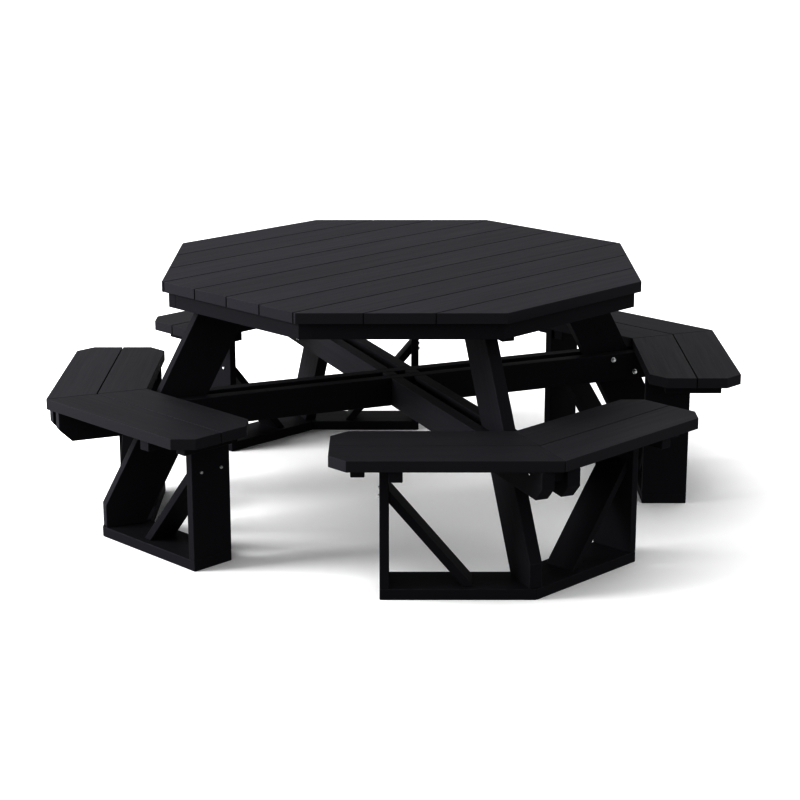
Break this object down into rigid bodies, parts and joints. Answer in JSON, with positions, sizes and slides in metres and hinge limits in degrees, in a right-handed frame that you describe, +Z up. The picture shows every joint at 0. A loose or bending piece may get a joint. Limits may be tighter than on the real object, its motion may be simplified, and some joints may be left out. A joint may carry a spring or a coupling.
{
  "type": "picnic table",
  "caption": "Octagonal walk-in picnic table of dark plastic lumber: slatted top on leaning legs and crossing beams, with four V-shaped benches.",
  "frame": {"origin": "on the ground, under the middle of the table top", "axes": "+Z up; -Y towards one flat of the octagonal top; the apexes of the benches and the legs lie at -67.5, 22.5, 112.5 and 202.5 degrees from +X about +Z"},
  "size_m": [2.0986, 2.0986, 0.7728],
  "materials": {
    "top_lumber": "dark plastic lumber, fine brushed grain, slight sheen",
    "seat_lumber": "dark plastic lumber, fine brushed grain, slight sheen",
    "frame_lumber": "dark plastic lumber, fine brushed grain",
    "steel_hardware": "zinc-bright steel bolts, washers and screws"
  },
  "bodies": {
    "root": {"apron_ring": "frame_lumber", "back_apex_block": "frame_lumber", "back_base": "frame_lumber", "back_ccw_brace": "frame_lumber", "back_ccw_post": "frame_lumber", "back_ccw_seat_inner": "seat_lumber", "back_ccw_seat_outer": "seat_lumber", "back_cw_brace": "frame_lumber", "back_cw_post": "frame_lumber", "back_cw_seat_inner": "seat_lumber", "back_cw_seat_outer": "seat_lumber", "back_leg": "frame_lumber", "front_apex_block": "frame_lumber", "front_base": "frame_lumber", "front_ccw_brace": "frame_lumber", "front_ccw_post": "frame_lumber", "front_ccw_seat_inner": "seat_lumber", "front_ccw_seat_outer": "seat_lumber", "front_cw_brace": "frame_lumber", "front_cw_post": "frame_lumber", "front_cw_seat_inner": "seat_lumber", "front_cw_seat_outer": "seat_lumber", "front_leg": "frame_lumber", "left_apex_block": "frame_lumber", "left_base": "frame_lumber", "left_ccw_brace": "frame_lumber", "left_ccw_post": "frame_lumber", "left_ccw_seat_inner": "seat_lumber", "left_ccw_seat_outer": "seat_lumber", "left_cw_brace": "frame_lumber", "left_cw_post": "frame_lumber", "left_cw_seat_inner": "seat_lumber", "left_cw_seat_outer": "seat_lumber", "left_leg": "frame_lumber", "lower_beam_a1": "frame_lumber", "lower_beam_a2": "frame_lumber", "lower_beam_b1": "frame_lumber", "lower_beam_b2": "frame_lumber", "right_apex_block": "frame_lumber", "right_base": "frame_lumber", "right_ccw_brace": "frame_lumber", "right_ccw_post": "frame_lumber", "right_ccw_seat_inner": "seat_lumber", "right_ccw_seat_outer": "seat_lumber", "right_cw_brace": "frame_lumber", "right_cw_post": "frame_lumber", "right_cw_seat_inner": "seat_lumber", "right_cw_seat_outer": "seat_lumber", "right_leg": "frame_lumber", "top_beam_cross": "frame_lumber", "top_board_1": "top_lumber", "top_board_10": "top_lumber", "top_board_2": "top_lumber", "top_board_3": "top_lumber", "top_board_4": "top_lumber", "top_board_5": "top_lumber", "top_board_6": "top_lumber", "top_board_7": "top_lumber", "top_board_8": "top_lumber", "top_board_9": "top_lumber"}
  },
  "joints": []
}
